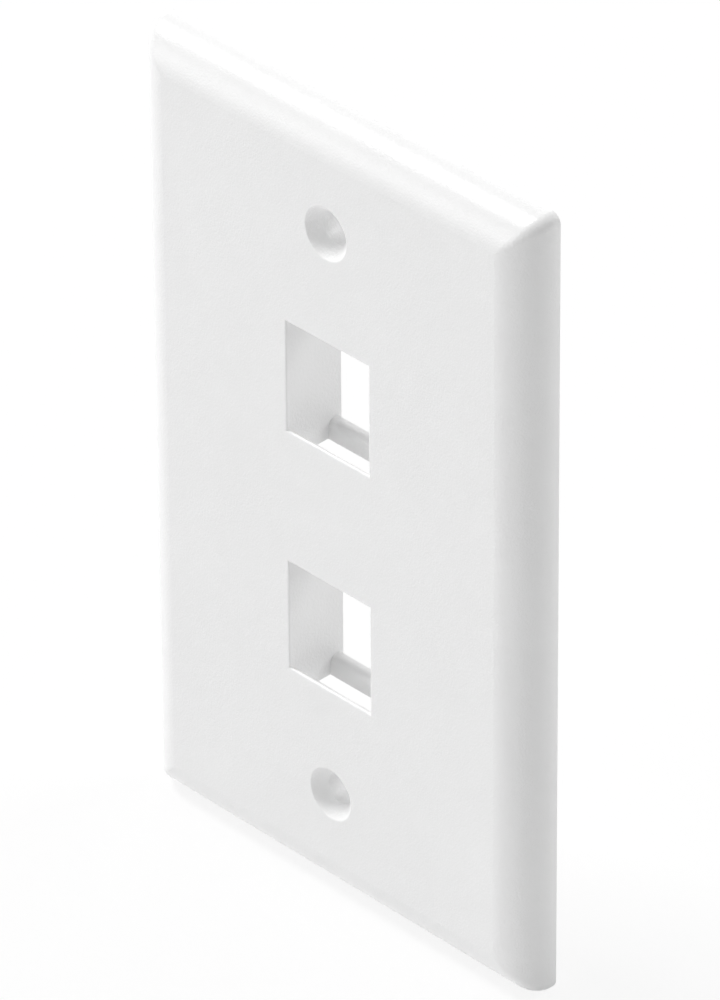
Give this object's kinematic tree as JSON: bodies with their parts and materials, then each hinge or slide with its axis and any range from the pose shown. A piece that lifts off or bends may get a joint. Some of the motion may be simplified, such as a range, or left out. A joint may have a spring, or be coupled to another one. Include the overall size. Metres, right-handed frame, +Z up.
{
  "type": "keystone faceplate",
  "caption": "Flat single-gang wall plate with rounded edges, countersunk screw holes and square keystone sockets that snap jacks in from behind.",
  "frame": {"origin": "middle of the plate in the wall plane, halfway between the two screw holes", "axes": "+X across the plate, +Y into the wall (the front faces -Y), +Z up the long side, with each port's catch bar below it"},
  "size_m": [0.0698, 0.0094, 0.1142],
  "materials": {
    "white_plastic": "satin moulded surface with a fine texture"
  },
  "bodies": {
    "root": {"faceplate": "white_plastic"}
  },
  "joints": []
}
